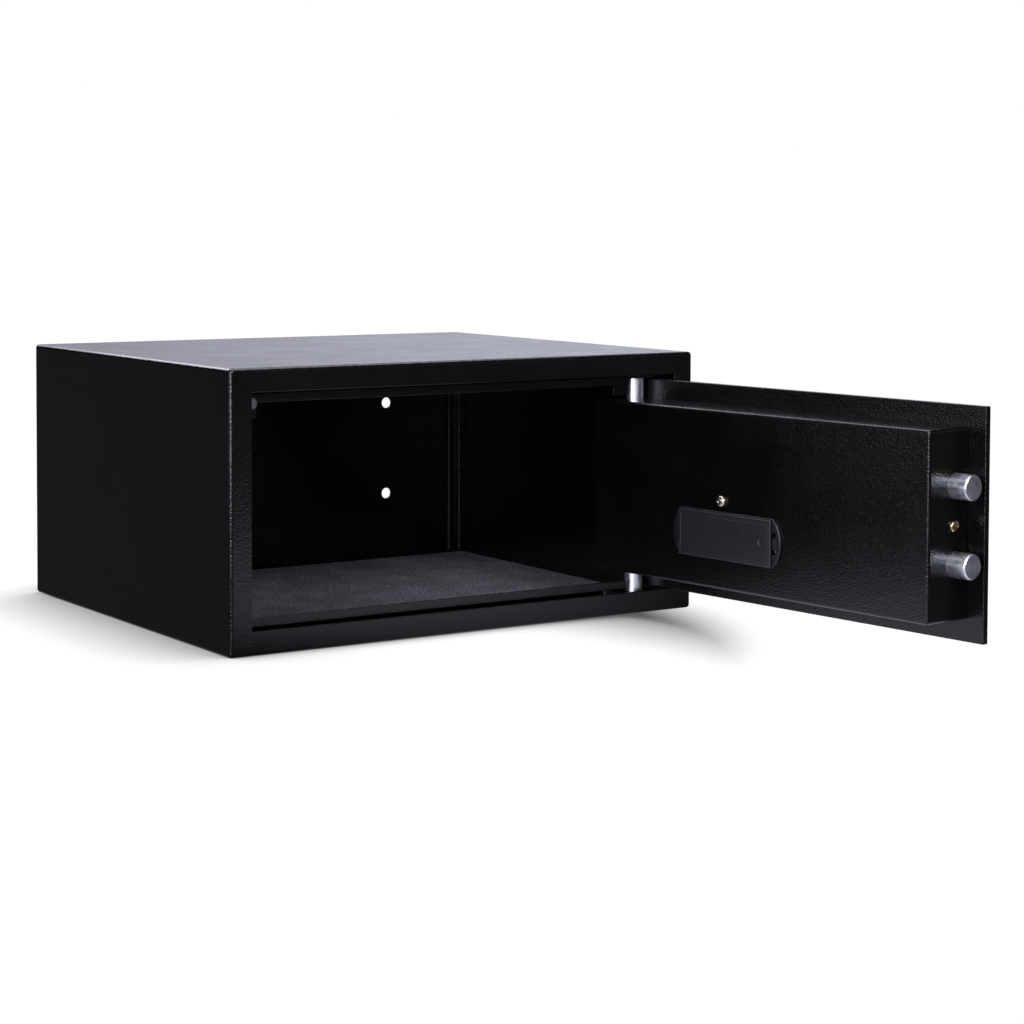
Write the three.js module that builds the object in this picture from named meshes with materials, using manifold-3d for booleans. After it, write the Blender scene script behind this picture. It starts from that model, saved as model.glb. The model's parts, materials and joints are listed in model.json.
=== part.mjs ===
// In-room safe: a folded steel casing with a hinged door, motor-driven round bolts and a front keypad.
// Millimetres. Origin at the centre of the casing's bottom face, X to the right, Y to the back, Z up.
import * as THREE from 'three';
import { mergeVertices } from 'three/addons/utils/BufferGeometryUtils.js';
import Module from 'manifold-3d';

const wasm = await Module();
wasm.setup();

// ---- driving dimensions ------------------------------------------------------------------------
const WIDTH = 432;
const DEPTH = 368;
const HEIGHT = 216;
const MID_Z = HEIGHT / 2;
const SHEET = 2;              // casing sheet
const FOLD = 3;               // outside radius of the casing's long folds
const FRONT_EDGE = 1.6;       // rounding of the front folds
const LIP = 18.5;             // width of the lip around the mouth
const GAP = 0.3;              // clearance between pieces that touch
const DOOR_OPEN = 96.2;       // degrees the door stands open at rest

// Door pieces are placed in the door's own frame: the hinge axis is its Z axis, +X runs from the
// free edge to the hinge edge, and +Y runs into the safe when the door is shut.
const AXIS_X = 167;
const AXIS_Y = -DEPTH / 2 + 14.5;
const PLATE = { x0: -362, x1: 27.5, y0: -14, y1: -9, z0: 21.5, z1: 194.5 };
const COVER = { x0: -346, x1: 13.5, y0: PLATE.y1 + GAP, y1: 34, z0: 38, z1: 178.5, sheet: 1.5 };
const INNER_Y = PLATE.y1 + GAP;
const PIN_R = 7.3;
const BUSH_R = 8.6;

const BOLT = { r: 9.5, y: 5, z: [79.5, 136.5], end: -363, length: 75, chamfer: 1.2 };
const GUIDE = { x0: -341, x1: -312, wall: 3, z0: 62, z1: 154, y1: 17 };
const CARRIAGE = { x0: -287.7, x1: -283.7, z0: 68, z1: 148, y0: -5, y1: 15 };

const MODULE = 1.5;
const PINION = { teeth: 12, x: -246, z: 103.5, y0: 5, y1: 11 };
const PITCH_R = MODULE * PINION.teeth / 2;
const BACKLASH = 0.35;
const SHAFT_R = 2.5;

const LOCK = { x: -252, z: 66, r: 9.5, plug: 6, reach: 23.6 };
const KEYPAD = { x0: -327, x1: -177, z0: 42, z1: 166, y0: -26, y1: PLATE.y0 - GAP, round: 10 };
const KEY = { w: 21, h: 11.5, pitchX: 27, pitchZ: 16.5, topZ: 133, proud: 2, stem: 2.7, round: 2 };
const WELL = { margin: 0.4, depth: 4.5 };
const WINDOW = { x0: -308, x1: -196, z0: 143, z1: 160, depth: 1.6 };

const SCREW_X = -137.5;
const SCREW_Z = 107.3;
const SIDE_SCREW = { y: 6.5, z: 107.5 };
const BATTERY = { x: -143.7, z: 80.4, r: 7, cell: 49.2, pitch: 14.6 };
const BAY = { l: 108, h: 30.2, floor: 17.2, wall: 1.5 };
const BEZEL = { l: 118, h: 38, t: 2, opening: 98 };
const CELL_Y = 24.8;
const HATCH = { l: 101, h: 36, t: 2.6, finger: 3.5, inset: 9 };

const BOARD = { x0: -186, x1: -98, z0: 121, z1: 169, y0: 10, y1: 11.6 };
const GEARBOX = { x0: -262, x1: -230, z0: 97, z1: 133, y1: 4.2 };
const MOTOR = { r: 8.2, length: 30, tipR: 3, tip: 2.5, y: -0.4, z: 120 };

// ---- finishes ----------------------------------------------------------------------------------
const finish = (color, roughness, metalness) => ({ color, roughness, metalness });
const BLACK_COAT = finish(0x17161a, 0.5, 0.1);
const CHROME = finish(0xd8dadd, 0.15, 1);
const ZINC = finish(0xb7a46a, 0.35, 1);
const NICKEL = finish(0xb9b8b2, 0.25, 1);
const STEEL = finish(0x8d9094, 0.4, 1);
const BLACK_ABS = finish(0x141416, 0.5, 0);
const GREY_ABS = finish(0x3a3c40, 0.5, 0);
const FELT = finish(0x45424b, 1, 0);
const CLEAR_RUBBER = finish(0xb9bcc0, 0.5, 0);
const KEY_GREY = finish(0xa9abad, 0.6, 0);
const BRASS = finish(0xb08d4a, 0.3, 1);
const ACETAL = finish(0xe6e2d6, 0.5, 0);
const CIRCUIT = finish(0x1f4d33, 0.5, 0);
const CELL_SKIN = finish(0x2f5d7c, 0.4, 0.2);
const WIRE = finish(0x8a1f1c, 0.6, 0);
const RIBBON = finish(0x9a9ca0, 0.6, 0);
const DARK_GLASS = finish(0x0b0f12, 0.1, 0);

// ---- solids ------------------------------------------------------------------------------------
function toSolid(geometry) {
  const plain = geometry.clone();
  plain.deleteAttribute('normal');
  plain.deleteAttribute('uv');
  const merged = mergeVertices(plain, 1e-4);
  return new wasm.Manifold(new wasm.Mesh({
    numProp: 3,
    vertProperties: new Float32Array(merged.attributes.position.array),
    triVerts: new Uint32Array(merged.index.array),
  }));
}

function toGeometry(solid) {
  const mesh = solid.getMesh();
  const geometry = new THREE.BufferGeometry();
  const count = mesh.vertProperties.length / mesh.numProp;
  const points = new Float32Array(count * 3);
  for (let i = 0; i < count; i += 1) {
    for (let k = 0; k < 3; k += 1) points[3 * i + k] = mesh.vertProperties[mesh.numProp * i + k];
  }
  geometry.setAttribute('position', new THREE.BufferAttribute(points, 3));
  geometry.setIndex(new THREE.BufferAttribute(new Uint32Array(mesh.triVerts), 1));
  return geometry;
}

const join = (first, ...rest) => rest.reduce((sum, next) => sum.add(next), first);
const cut = (first, ...rest) => rest.reduce((left, next) => left.subtract(next), first);

function box(x0, x1, y0, y1, z0, z1) {
  const geometry = new THREE.BoxGeometry(x1 - x0, y1 - y0, z1 - z0);
  geometry.translate((x0 + x1) / 2, (y0 + y1) / 2, (z0 + z1) / 2);
  return toSolid(geometry);
}

// A round bar along one axis, from a to b, with its centre at (u, v) on the other two axes.
function rod(axis, r, a, b, u, v, sides = 24) {
  const geometry = new THREE.CylinderGeometry(r, r, b - a, sides);
  if (axis === 'x') {
    geometry.rotateZ(-Math.PI / 2);
    geometry.translate((a + b) / 2, u, v);
  } else if (axis === 'y') {
    geometry.translate(u, (a + b) / 2, v);
  } else {
    geometry.rotateX(Math.PI / 2);
    geometry.translate(u, v, (a + b) / 2);
  }
  return toSolid(geometry);
}

// A turned piece: profile points are [radius, height], starting and ending on the axis.
function turned(profile, sides = 20) {
  const points = profile.map(([r, h]) => new THREE.Vector2(r, h));
  return new THREE.LatheGeometry(points, sides);
}

// An outline in the X-Z plane with round corners, carried along +Y from y0 to y1.
function roundedPlate(x0, x1, z0, z1, r, y0, y1, steps = 4, bevel = 0) {
  const shape = new THREE.Shape();
  shape.moveTo(x0 + r, z0);
  shape.lineTo(x1 - r, z0);
  shape.absarc(x1 - r, z0 + r, r, -Math.PI / 2, 0);
  shape.lineTo(x1, z1 - r);
  shape.absarc(x1 - r, z1 - r, r, 0, Math.PI / 2);
  shape.lineTo(x0 + r, z1);
  shape.absarc(x0 + r, z1 - r, r, Math.PI / 2, Math.PI);
  shape.lineTo(x0, z0 + r);
  shape.absarc(x0 + r, z0 + r, r, Math.PI, 1.5 * Math.PI);
  return upright(shape, y0, y1, steps, bevel);
}

// Stands a shape drawn in X and Z upright and gives it its thickness along Y.
function upright(shape, y0, y1, steps = 4, bevel = 0) {
  const geometry = new THREE.ExtrudeGeometry(shape, {
    depth: y1 - y0 - 2 * bevel, curveSegments: steps, bevelEnabled: bevel > 0,
    bevelThickness: bevel, bevelSize: bevel, bevelOffset: -bevel, bevelSegments: 1,
  });
  geometry.rotateX(Math.PI / 2);
  geometry.translate(0, y1 - bevel, 0);
  return toSolid(geometry);
}

// A polygon in X and Y, carried up from z0 to z1.
function prism(points, z0, z1) {
  const shape = new THREE.Shape(points.map(([x, y]) => new THREE.Vector2(x, y)));
  const geometry = new THREE.ExtrudeGeometry(shape, { depth: z1 - z0, bevelEnabled: false });
  geometry.translate(0, 0, z0);
  return toSolid(geometry);
}

// A round wire through points.
function wire(points, r, steps) {
  const path = new THREE.CatmullRomCurve3(points.map(([x, y, z]) => new THREE.Vector3(x, y, z)));
  const shape = new THREE.Shape();
  shape.absarc(0, 0, r, 0, 2 * Math.PI);
  const settings = { steps, curveSegments: 4, extrudePath: path, bevelEnabled: false };
  return new THREE.ExtrudeGeometry(shape, settings);
}

const safe = new THREE.Group();
const door = new THREE.Group();
door.position.set(AXIS_X, AXIS_Y, 0);
door.rotation.z = THREE.MathUtils.degToRad(DOOR_OPEN);
safe.add(door);

function place(parent, name, shape, look) {
  const geometry = shape.isBufferGeometry ? shape : toGeometry(shape);
  const mesh = new THREE.Mesh(geometry, new THREE.MeshStandardMaterial(look));
  mesh.name = name;
  parent.add(mesh);
  return mesh;
}

// ---- casing ------------------------------------------------------------------------------------
const HALF_W = WIDTH / 2;
const FRONT = -DEPTH / 2;
const BACK = DEPTH / 2;
const WALL_X = HALF_W - SHEET;
const INSIDE = { x: WALL_X - GAP, z0: SHEET + GAP, z1: HEIGHT - SHEET - GAP };
const HOLE = { x: 134.5, z: 43, r: 5 };
const PANEL_Y = BACK - 3.3;
const PANEL = { flange: 12, sheet: 1.5 };
const MOUTH_R = 0.8;

function casingShell() {
  const outer = roundedPlate(-HALF_W, HALF_W, 0, HEIGHT, FOLD, FRONT, BACK + 10, 4, FRONT_EDGE);
  const inner = FOLD - SHEET;
  const hollow = roundedPlate(-WALL_X, WALL_X, SHEET, HEIGHT - SHEET, inner, FRONT + SHEET, BACK + 20, 2);
  const side = HALF_W - LIP;
  const mouth = roundedPlate(-side, side, LIP, HEIGHT - LIP, MOUTH_R, FRONT - 5, FRONT + 5, 2);
  const behind = box(-HALF_W - 5, HALF_W + 5, BACK, BACK + 30, -5, HEIGHT + 5);
  return cut(outer, hollow, mouth, behind);
}

function backPanel() {
  const { flange, sheet } = PANEL;
  const { x: half, z0, z1 } = INSIDE;
  const pan = cut(
    box(-half, half, PANEL_Y - flange, PANEL_Y + SHEET, z0, z1),
    box(-half + sheet, half - sheet, PANEL_Y - flange - 1, PANEL_Y, z0 + sheet, z1 - sheet),
  );
  const holes = [];
  for (const x of [-HOLE.x, HOLE.x]) {
    for (const z of [MID_Z - HOLE.z, MID_Z + HOLE.z]) {
      holes.push(rod('y', HOLE.r, PANEL_Y - 5, PANEL_Y + 5, x, z));
    }
  }
  return cut(pan, ...holes);
}

const STRIP = {
  x0: -198.2, x1: 156.5, y: FRONT + 9.8, t: 1.5, high: 26.8, face: 7, foot: 12.5, footEnd: 142,
};
const TAB = { x1: -189, drop: 38 };

// A Z-folded strip: a face the door shuts against, a web running back, and a leg down to the casing.
function stopStrip(atTop) {
  const { x0, x1, y, t, high, face, foot, footEnd } = STRIP;
  const step = high - face;
  const strip = join(
    box(x0, x1, y, y + t, step, high),
    box(x0, footEnd, y, y + t + foot, step, step + t),
    box(x0, footEnd, y + foot, y + foot + t, INSIDE.z0, step + t),
  );
  if (!atTop) return strip;
  const tab = box(x0, TAB.x1, y, y + t, high - 6, TAB.drop);
  return join(strip, tab).mirror([0, 0, 1]).translate([0, 0, HEIGHT]);
}

const KEEPER = { x0: -201.5, x1: -198.5, y0: FRONT + SHEET + GAP, y1: -137, t: 3, hole: 10.5 };

function keeperPlate() {
  const { x0, x1, y0, y1, t, hole } = KEEPER;
  const plate = box(x0, x1, y0, y1, INSIDE.z0, INSIDE.z1);
  const flange = box(-INSIDE.x, x1, y1 - t, y1, INSIDE.z0, INSIDE.z1);
  const holes = BOLT.z.map((z) => rod('x', hole, x0 - 1, x1 + 1, AXIS_Y + BOLT.y, z, 32));
  return cut(join(plate, flange), ...holes);
}

const LUG = {
  x0: 147, step: 157.5, x1: 181, front: -179.5, inner: -172.2, back: -157, low: 17.8, top: 20.8,
};
const CHEEK = { x0: 143, x1: 157.5, y0: -172.2, y1: -158, z0: 181 };

function hingeLug(atTop) {
  const { x0, step, x1, front, inner, back, low, top } = LUG;
  const outline = [[x0, inner], [step, inner], [step, front], [x1, front], [x1, back], [x0, back]];
  const bore = rod('z', PIN_R + GAP, -10, HEIGHT + 10, AXIS_X, AXIS_Y, 32);
  if (!atTop) return cut(prism(outline, INSIDE.z0, low), bore);
  const cheek = box(CHEEK.x0, CHEEK.x1, CHEEK.y0, CHEEK.y1, CHEEK.z0, INSIDE.z1);
  return cut(join(prism(outline, HEIGHT - top, INSIDE.z1), cheek), bore);
}

const PIN = { low: 3, top: 56, chamfer: 1 };

function hingePin(atTop) {
  const { low, top, chamfer } = PIN;
  const shoulder = [PIN_R, top - chamfer];
  const solid = turned([[0, low], [PIN_R, low], shoulder, [PIN_R - chamfer, top], [0, top]], 28);
  solid.rotateX(Math.PI / 2);
  if (atTop) {
    solid.rotateX(Math.PI);
    solid.translate(0, 0, HEIGHT);
  }
  solid.translate(AXIS_X, AXIS_Y, 0);
  return solid;
}

const CORNER = { leg: 8.5, t: 1.3, end: 1.8 };

// An angle that lines a rear corner, one leg on the back panel and one on the side.
function cornerStrip(side) {
  const { leg, t, end } = CORNER;
  const x = INSIDE.x - PANEL.sheet - GAP;
  const y = PANEL_Y - GAP;
  const outline = [[x - leg, y], [x - leg, y - t], [x - t, y - t], [x - t, y - leg], [x, y - leg], [x, y]];
  return prism(outline.map(([px, py]) => [side * px, py]), INSIDE.z0 + end, INSIDE.z1 - end);
}

const MAT = { t: 3, margin: 0.5 };

function floorMat() {
  const { t, margin } = MAT;
  const left = KEEPER.x1 + margin;
  const front = STRIP.y + STRIP.t + STRIP.foot + margin;
  const back = PANEL_Y - PANEL.flange - margin;
  const wide = INSIDE.x - margin;
  const [lug0, lug1, lugBack] = [LUG.x0 - margin, LUG.x1 + margin, LUG.back + margin];
  const outline = [
    [left, front], [lug0, front], [lug0, lugBack], [lug1, lugBack], [lug1, front], [wide, front],
    [wide, back], [-wide, back], [-wide, KEEPER.y1 + margin], [left, KEEPER.y1 + margin],
  ];
  return prism(outline, INSIDE.z0, INSIDE.z0 + t);
}

const BUFFER = { r: 4.7, high: 3.6, x: -193.6, z: HEIGHT - 27.3 };

function doorBuffer() {
  const { r, high, x, z } = BUFFER;
  const crown = [[r, 0.22 * high], [0.86 * r, 0.6 * high], [0.5 * r, 0.9 * high], [0, high]];
  const profile = [[0, 0], [r, 0], ...crown];
  const dome = turned(profile, 20);
  dome.rotateX(Math.PI);
  dome.translate(x, STRIP.y - GAP, z);
  return dome;
}

place(safe, 'body_shell', casingShell(), BLACK_COAT);
place(safe, 'back_panel', backPanel(), BLACK_COAT);
place(safe, 'stop_strip_lower', stopStrip(false), BLACK_COAT);
place(safe, 'stop_strip_upper', stopStrip(true), BLACK_COAT);
place(safe, 'keeper_plate', keeperPlate(), BLACK_COAT);
place(safe, 'hinge_lug_lower', hingeLug(false), BLACK_COAT);
place(safe, 'hinge_lug_upper', hingeLug(true), BLACK_COAT);
place(safe, 'hinge_pin_lower', hingePin(false), CHROME);
place(safe, 'hinge_pin_upper', hingePin(true), CHROME);
place(safe, 'corner_strip_left', cornerStrip(-1), BLACK_COAT);
place(safe, 'corner_strip_right', cornerStrip(1), BLACK_COAT);
place(safe, 'floor_mat', floorMat(), FELT);
place(safe, 'door_buffer', doorBuffer(), CLEAR_RUBBER);

// ---- door shell --------------------------------------------------------------------------------
const RIBBON_SLOT = { x0: -262, x1: -242, z0: 149, z1: 157 };
const SCREW_HOLE = 2.4;       // radius of the cover's two screw holes
const BORE_GAP = 0.7;         // radial room round the bolts and pins in the cover

function doorPlate() {
  return cut(
    box(PLATE.x0, PLATE.x1, PLATE.y0, PLATE.y1, PLATE.z0, PLATE.z1),
    rod('y', LOCK.r + GAP, PLATE.y0 - 1, PLATE.y1 + 1, LOCK.x, LOCK.z),
    box(RIBBON_SLOT.x0, RIBBON_SLOT.x1, PLATE.y0 - 1, PLATE.y1 + 1, RIBBON_SLOT.z0, RIBBON_SLOT.z1),
  );
}

function innerCover() {
  const { x0, x1, y0, y1, z0, z1, sheet } = COVER;
  const pan = cut(
    roundedPlate(x0, x1, z0, z1, 2, y0 - 10, y1, 3, 1.2),
    roundedPlate(x0 + sheet, x1 - sheet, z0 + sheet, z1 - sheet, 0.6, y0 - 5, y1 - sheet, 2),
    box(x0 - 5, x1 + 5, y0 - 15, y0, z0 - 5, z1 + 5),
  );
  const bayL = BAY.l + 2 * BAY.wall + 2 * GAP;
  const bayH = BAY.h + 2 * BAY.wall + 2 * GAP;
  const { x, z } = BATTERY;
  const bay = box(x - bayL / 2, x + bayL / 2, y1 - 5, y1 + 5, z - bayH / 2, z + bayH / 2);
  const bolts = BOLT.z.map((boltZ) => rod('x', BOLT.r + BORE_GAP, x0 - 2, x0 + 6, BOLT.y, boltZ, 32));
  return cut(
    pan, bay, ...bolts,
    rod('x', SCREW_HOLE, x0 - 2, x0 + 6, SIDE_SCREW.y, SIDE_SCREW.z, 16),
    rod('y', SCREW_HOLE, y1 - 5, y1 + 5, SCREW_X, SCREW_Z, 16),
    rod('z', PIN_R + BORE_GAP, z0 - 2, z1 + 2, 0, 0, 32),
  );
}

const BRACKET = { x0: -40, leafX: -26, x1: 11.7, t: 3, leafT: 5, z0: 50, z1: 74, reach: 16, slot: 9.5 };
const BUSH = { z0: 43.5, z1: 57, wall: 0.2 };
const POST = { r: 4.6, pilot: 1.8, deep: 14 };

// A base on the door plate and a leaf with the bush's bore; a slot above the leaf clears the pin.
function hingeBracket(atTop) {
  const { x0, leafX, x1, t, leafT, z0, z1, reach, slot } = BRACKET;
  const top = z0 + leafT;
  const base = box(x0, x1, INNER_Y, INNER_Y + t, top - 0.7, z1);
  const leaf = cut(
    box(leafX, x1, INNER_Y, reach, z0, top),
    rod('z', BUSH_R + GAP, z0 - 10, top + 5, 0, 0, 32),
  );
  const room = box(-slot - 2.5, x1 + 0.1, -slot, slot, top - 1, top + 5);
  const bracket = cut(join(base, leaf), room);
  return atTop ? bracket.mirror([0, 0, 1]).translate([0, 0, HEIGHT]) : bracket;
}

function hingeBush(atTop) {
  const { z0, z1, wall } = BUSH;
  const bore = rod('z', PIN_R + wall, z0 - 3, z1 + 3, 0, 0, 28);
  const ring = cut(rod('z', BUSH_R, z0, z1, 0, 0, 32), bore);
  return atTop ? ring.mirror([0, 0, 1]).translate([0, 0, HEIGHT]) : ring;
}

function coverPost() {
  const { r, pilot, deep } = POST;
  const end = COVER.y1 - COVER.sheet - GAP;
  const post = new THREE.CylinderGeometry(r, r, end - INNER_Y, 6);
  post.translate(SCREW_X, (end + INNER_Y) / 2, SCREW_Z);
  return cut(toSolid(post), rod('y', pilot, COVER.y1 - deep, COVER.y1 + 2, SCREW_X, SCREW_Z, 16));
}

// A cross-recessed pan head screw, head outwards along +Y, seat at height 0.
function panHeadScrew(headR, headH, shankR, shankL) {
  const body = toSolid(turned([
    [0, -shankL], [shankR * 0.7, -shankL], [shankR, -shankL + 0.8], [shankR, 0], [headR, 0],
    [headR, headH * 0.35], [headR * 0.86, headH * 0.75], [headR * 0.5, headH], [0, headH],
  ], 20));
  const slot = headR * 0.62;
  const narrow = 0.55;
  const floor = headH * 0.45;
  return cut(
    body,
    box(-slot, slot, floor, headH + 1, -narrow, narrow),
    box(-narrow, narrow, floor, headH + 1, -slot, slot),
  );
}

const FACE_HEAD = { r: 4.6, h: 3.2, shankR: 1.5, shank: 9 };
const SIDE_HEAD = { r: 4.4, h: 2.6, shankR: 2, shank: 7.5 };

place(door, 'door_plate', doorPlate(), BLACK_COAT);
place(door, 'inner_cover', innerCover(), BLACK_COAT);
place(door, 'hinge_bracket_lower', hingeBracket(false), STEEL);
place(door, 'hinge_bracket_upper', hingeBracket(true), STEEL);
place(door, 'hinge_bush_lower', hingeBush(false), ACETAL);
place(door, 'hinge_bush_upper', hingeBush(true), ACETAL);
place(door, 'cover_post', coverPost(), STEEL);
const faceScrew = panHeadScrew(FACE_HEAD.r, FACE_HEAD.h, FACE_HEAD.shankR, FACE_HEAD.shank)
  .translate([SCREW_X, COVER.y1 + GAP, SCREW_Z]);
place(door, 'cover_face_screw', faceScrew, NICKEL);
const sideScrew = panHeadScrew(SIDE_HEAD.r, SIDE_HEAD.h, SIDE_HEAD.shankR, SIDE_HEAD.shank)
  .rotate([0, 0, 90]);
place(door, 'cover_side_screw', sideScrew.translate([COVER.x0 - GAP, SIDE_SCREW.y, SIDE_SCREW.z]), ZINC);

// ---- bolt work ---------------------------------------------------------------------------------
function boltGuide() {
  const { x0, x1, wall, z0, z1, y1 } = GUIDE;
  const walls = [[x0, x0 + wall], [x1 - wall, x1]].map(([a, b]) => box(a, b, INNER_Y, y1, z0, z1));
  const base = box(x0, x1, INNER_Y, INNER_Y + 2, z0, z1);
  const holes = BOLT.z.map((z) => rod('x', BOLT.r + GAP, x0 - 1, x1 + 1, BOLT.y, z, 32));
  const thread = rod('x', 2.3, x0 - 1, x0 + wall + 1, SIDE_SCREW.y, SIDE_SCREW.z, 16);
  const relief = box(x0 + wall + 1, x1 - wall - 1, INNER_Y - 1, INNER_Y + 3, 98, 118);
  return cut(join(base, ...walls), ...holes, thread, relief);
}

function roundBolt(z) {
  const { r, length, end, chamfer } = BOLT;
  const bolt = turned([[0, 0], [r, 0], [r, length - chamfer], [r - chamfer, length], [0, length]], 36);
  bolt.rotateZ(Math.PI / 2);
  bolt.translate(end + length, BOLT.y, z);
  return bolt;
}

// A straight-flanked tooth, wider at the root than at the tip, from height 0 to height `high`.
function rackTooth(x, z, rootW, tipW, high) {
  return [[x - rootW / 2, z], [x + rootW / 2, z], [x + tipW / 2, z + high], [x - tipW / 2, z + high]];
}

const RACK = { x1: -212, z0: 84, root: 92.6, tooth: 3.9, rootW: 3.4 - BACKLASH, tipW: 1.15 - BACKLASH / 2 };
const PITCH = Math.PI * MODULE;
const FINGER = { x: -228, t: 4, y0: 14.3, y1: 18, z0: 60, z1: 82 };

function boltCarriage() {
  const { x0, x1, z0, z1, y0, y1 } = CARRIAGE;
  const plate = box(x0, x1, y0, y1, z0, z1);
  const bar = box(x0 + 1, RACK.x1, PINION.y0, PINION.y1, RACK.z0, RACK.root);
  const teeth = [];
  for (let i = -1; i <= 5; i += 1) {
    const middle = PINION.x + (i + 0.5) * PITCH;
    const points = rackTooth(middle, RACK.root - 0.5, RACK.rootW, RACK.tipW, RACK.tooth);
    const shape = new THREE.Shape(points.map(([x, z]) => new THREE.Vector2(x, z)));
    teeth.push(upright(shape, PINION.y0, PINION.y1));
  }
  const post = box(FINGER.x, FINGER.x + FINGER.t, PINION.y0, FINGER.y1, FINGER.z1 - 2, RACK.root);
  const finger = box(FINGER.x, FINGER.x + FINGER.t, FINGER.y0, FINGER.y1, FINGER.z0, FINGER.z1);
  return join(plate, bar, post, finger, ...teeth);
}

// Twelve teeth with straight flanks on a round hub, on a stub of shaft.
function drivePinion() {
  const { teeth, x, z, y0, y1 } = PINION;
  const root = PITCH_R - 1.25 * MODULE;
  const tip = PITCH_R + MODULE - 0.15;
  const shape = new THREE.Shape();
  const flank = [[root, 0.62], [PITCH_R, 0.46], [tip, 0.2]];
  const side = 2 * Math.PI / teeth;
  const point = (r, a) => [r * Math.sin(a), r * Math.cos(a)];
  for (let i = 0; i < teeth; i += 1) {
    const middle = Math.PI + i * side;
    const left = flank.map(([r, half]) => point(r, middle - half * side / 2));
    const right = flank.slice().reverse().map(([r, half]) => point(r, middle + half * side / 2));
    [...left, ...right].forEach(([px, pz], k) => {
      if (i === 0 && k === 0) shape.moveTo(px, pz);
      else shape.lineTo(px, pz);
    });
  }
  shape.closePath();
  const wheel = upright(shape, y0, y1).translate([x, 0, z]);
  const shaft = rod('y', SHAFT_R, 0, y1 + 1.5, x, z, 16);
  return join(wheel, shaft);
}

function gearMotor() {
  const { x0, x1, z0, z1, y1 } = GEARBOX;
  const { r, length, tipR, tip, y, z } = MOTOR;
  const block = box(x0, x1, INNER_Y, y1, z0, z1);
  const can = rod('x', r, x1 - 1, x1 + length, y, z, 24);
  const boss = rod('x', tipR, x1 + length - 1, x1 + length + tip - 1, y, z, 12);
  return cut(join(block, can, boss), rod('y', SHAFT_R + GAP, -1, y1 + 1, PINION.x, PINION.z, 16));
}

place(door, 'bolt_guide', boltGuide(), STEEL);
place(door, 'bolt_lower', roundBolt(BOLT.z[0]), CHROME);
place(door, 'bolt_upper', roundBolt(BOLT.z[1]), CHROME);
place(door, 'bolt_carriage', boltCarriage(), STEEL);
place(door, 'drive_pinion', drivePinion(), ACETAL);
place(door, 'gear_motor', gearMotor(), STEEL);

// ---- override lock -----------------------------------------------------------------------------
function lockHousing() {
  const barrel = rod('y', LOCK.r, KEYPAD.y0 + 0.2, 13.8, LOCK.x, LOCK.z, 28);
  return cut(barrel, rod('y', LOCK.plug + GAP, KEYPAD.y0 - 2, 15, LOCK.x, LOCK.z, 24));
}

function lockNut() {
  const hex = new THREE.CylinderGeometry(13, 13, 3.5, 6);
  hex.translate(LOCK.x, INNER_Y + 1.75, LOCK.z);
  return cut(toSolid(hex), rod('y', LOCK.r + GAP, -20, 20, LOCK.x, LOCK.z, 28));
}

// The plug turns in the housing and carries the cam that draws the carriage back.
function lockPlug() {
  const plug = rod('y', LOCK.plug, KEYPAD.y0 + 0.6, 17.4, LOCK.x, LOCK.z, 24);
  const cam = box(LOCK.x - 4, LOCK.x + 4, 14.6, 17.4, LOCK.z - LOCK.reach, LOCK.z);
  const slot = box(LOCK.x - 0.6, LOCK.x + 0.6, KEYPAD.y0 - 1, KEYPAD.y0 + 9, LOCK.z - 3.8, LOCK.z + 3.8);
  return cut(join(plug, cam), slot);
}

function keyholeCover() {
  const r = 7.6;
  const swing = 16;
  const y0 = KEYPAD.y0 - 2.2;
  const y1 = KEYPAD.y0 - GAP;
  const { x, z } = LOCK;
  const plate = roundedPlate(x - r, x + swing + r, z - r, z + r, r - 0.6, y0, y1, 6, 0.5);
  const grip = box(x - 4, x - 2.6, y0 - 0.8, y0 + 0.5, z - 3.5, z + 3.5);
  return join(plate, grip);
}

place(door, 'lock_housing', lockHousing(), NICKEL);
place(door, 'lock_nut', lockNut(), NICKEL);
place(door, 'lock_plug', lockPlug(), BRASS);
place(door, 'keyhole_cover', keyholeCover(), GREY_ABS);

// ---- keypad ------------------------------------------------------------------------------------
const keyPlaces = [];
for (let row = 0; row < 4; row += 1) {
  for (let column = -1; column <= 1; column += 1) {
    keyPlaces.push([LOCK.x + column * KEY.pitchX, KEY.topZ - row * KEY.pitchZ]);
  }
}

function keypadHousing() {
  const { x0, x1, z0, z1, y0, y1, round } = KEYPAD;
  const shell = roundedPlate(x0, x1, z0, z1, round, y0, y1 + 8, 6, 2.5);
  const halfW = KEY.w / 2 + WELL.margin;
  const halfH = KEY.h / 2 + WELL.margin;
  const wells = keyPlaces.map(([x, z]) => roundedPlate(x - halfW, x + halfW, z - halfH, z + halfH,
    KEY.round, y0 - 1, y0 + WELL.depth, 2));
  const pane = WINDOW;
  const recess = box(pane.x0 - GAP, pane.x1 + GAP, y0 - 1, y0 + pane.depth, pane.z0 - GAP, pane.z1 + GAP);
  const pocket = box(x0 + 6, x1 - 6, y0 + 7.5, y1 + 1, z0 + 6, z1 - 6);
  const rim = box(x0 - 5, x1 + 5, y1, y1 + 20, z0 - 5, z1 + 5);
  const bore = rod('y', LOCK.r + GAP, y0 - 1, y1 + 1, LOCK.x, LOCK.z, 28);
  return cut(shell, rim, recess, pocket, bore, ...wells);
}

function keyCap(x, z) {
  const y0 = KEYPAD.y0 - KEY.proud;
  return roundedPlate(x - KEY.w / 2, x + KEY.w / 2, z - KEY.h / 2, z + KEY.h / 2, KEY.round, y0,
    KEYPAD.y0 + KEY.stem, 2, 0.6);
}

function displayWindow() {
  return box(WINDOW.x0, WINDOW.x1, KEYPAD.y0 - 0.2, KEYPAD.y0 + WINDOW.depth - GAP, WINDOW.z0, WINDOW.z1);
}

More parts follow.
